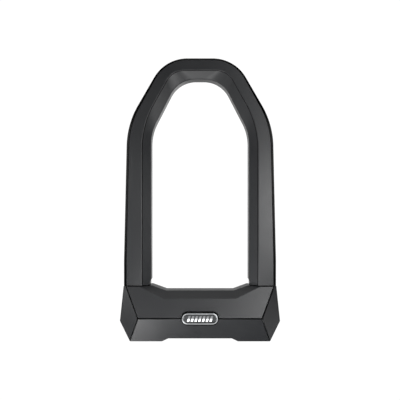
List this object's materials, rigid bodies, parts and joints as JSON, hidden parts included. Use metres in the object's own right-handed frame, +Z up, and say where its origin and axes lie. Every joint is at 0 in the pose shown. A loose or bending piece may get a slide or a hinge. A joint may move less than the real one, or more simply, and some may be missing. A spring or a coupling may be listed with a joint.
{
  "type": "u lock",
  "caption": "U lock: faceted square-section shackle with a black outer edge, standing in a wide faceted crossbar with a keyed bolt mechanism inside.",
  "frame": {"origin": "middle of the crossbar's base, on the surface the lock stands on", "axes": "+Z up along the shackle's legs, +X to the right leg, -Y to the front, where the badge is"},
  "size_m": [0.1624, 0.0528, 0.2832],
  "materials": {
    "grey_plastic": "satin dark grey moulded skin",
    "black_plastic": "smooth black",
    "rubber": "matt black",
    "hard_steel": "hardened, ground",
    "zinc_steel": "zinc plated",
    "cast_zinc": "die cast, as cast",
    "brass": "machined",
    "chrome": "bright",
    "grey_metal": "satin grey"
  },
  "bodies": {
    "crossbar": {"upper_cover": "grey_plastic", "lower_cover": "grey_plastic", "hardened_box": "hard_steel", "lock_carrier": "cast_zinc", "cylinder_barrel": "brass", "barrel_pin": "zinc_steel", "badge_plate": "chrome", "badge_field": "grey_metal", "badge_ring": "black_plastic", "left_end_cap": "grey_plastic", "left_end_plate": "hard_steel", "left_socket_sleeve": "black_plastic", "left_socket_seal": "rubber", "left_carrier_pin": "zinc_steel", "left_cover_screw": "zinc_steel", "right_end_cap": "grey_plastic", "right_end_plate": "hard_steel", "right_socket_sleeve": "black_plastic", "right_socket_seal": "rubber", "right_carrier_pin": "zinc_steel", "right_cover_screw": "zinc_steel"},
    "shackle": {"shackle_bar": "hard_steel", "shackle_jacket": "grey_plastic", "shackle_edge_strip": "black_plastic"},
    "key_core": {"key_plug": "brass", "front_disc": "hard_steel", "side_bar": "zinc_steel", "drive_cam": "zinc_steel", "code_disc_1": "brass", "code_disc_2": "brass", "code_disc_3": "brass", "code_disc_4": "brass", "code_disc_5": "brass", "disc_spacer_1": "zinc_steel", "disc_spacer_2": "zinc_steel", "disc_spacer_3": "zinc_steel", "disc_spacer_4": "zinc_steel"},
    "left_bolt_body": {"left_bolt": "hard_steel", "left_bolt_pin": "zinc_steel"},
    "right_bolt_body": {"right_bolt": "hard_steel", "right_bolt_pin": "zinc_steel"},
    "dust_cover": {"keyhole_cover": "black_plastic"}
  },
  "joints": [
    {"name": "shackle_lift", "type": "slide", "parent": "crossbar", "child": "shackle", "axis": [0, 0, 1], "range_m": [0, 0.06]},
    {"name": "key_turn", "type": "hinge", "parent": "crossbar", "child": "key_core", "pos_m": [0, 0, 0.02], "axis": [0, 0, 1], "range_deg": [0, 90]},
    {"name": "left_bolt_throw", "type": "slide", "parent": "crossbar", "child": "left_bolt_body", "axis": [-1, 0, 0], "range_m": [0, 0.00425]},
    {"name": "right_bolt_throw", "type": "slide", "parent": "crossbar", "child": "right_bolt_body", "axis": [1, 0, 0], "range_m": [0, 0.0042]},
    {"name": "keyhole_cover_slide", "type": "slide", "parent": "crossbar", "child": "dust_cover", "axis": [1, 0, 0], "range_m": [0, 0.017]}
  ],
  "couplings": [
    {"joint": "left_bolt_throw", "follows": "right_bolt_throw", "ratio": 1},
    {"joint": "key_turn", "follows": "right_bolt_throw", "rad_per_m": 373}
  ]
}
